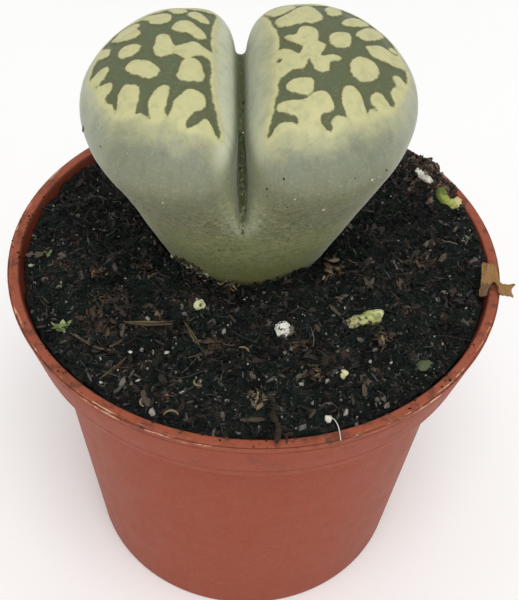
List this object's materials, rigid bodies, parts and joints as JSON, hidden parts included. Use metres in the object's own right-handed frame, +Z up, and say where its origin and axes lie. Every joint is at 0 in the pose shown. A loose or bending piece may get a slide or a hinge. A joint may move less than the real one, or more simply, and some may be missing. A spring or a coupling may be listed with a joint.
{
  "type": "potted lithops",
  "caption": "Living-stone succulent with paired patterned leaves divided by a deep cleft, standing in gritty peat in a round tapered plastic nursery pot with a stepped collar.",
  "frame": {"origin": "middle of the pot's flat underside, on the surface that the pot stands on", "axes": "+Z up along the pot's axis; -Y towards the side that the cleft opens to at the front; +X to the right of that side"},
  "size_m": [0.0565, 0.055, 0.0699],
  "materials": {
    "terracotta_plastic": "satin moulded polypropylene, terracotta red, fine scratches and dust",
    "peat": "moist black-brown peat with bark crumbs, fibres and pale grit",
    "lithops_skin": "waxy grey-green succulent skin, cream islands round sunken grey-green windows",
    "perlite": "white expanded perlite, pitted",
    "green_husk": "yellow-green husk with dark flecks",
    "moss": "yellow-green moss and leaf crumbs",
    "pale_grain": "pale cream grain",
    "bark": "weathered bark twig",
    "dry_leaf": "dry tan leaf scrap with fine fibres"
  },
  "bodies": {
    "root": {"pot": "terracotta_plastic", "soil": "peat", "lithops": "lithops_skin", "perlite_crumb_large": "perlite", "perlite_crumb_small": "perlite", "green_husk": "green_husk", "moss_tuft": "moss", "pale_pebble": "pale_grain", "cream_grain": "pale_grain", "bark_twig": "bark", "dry_leaf_scrap": "dry_leaf"}
  },
  "joints": []
}
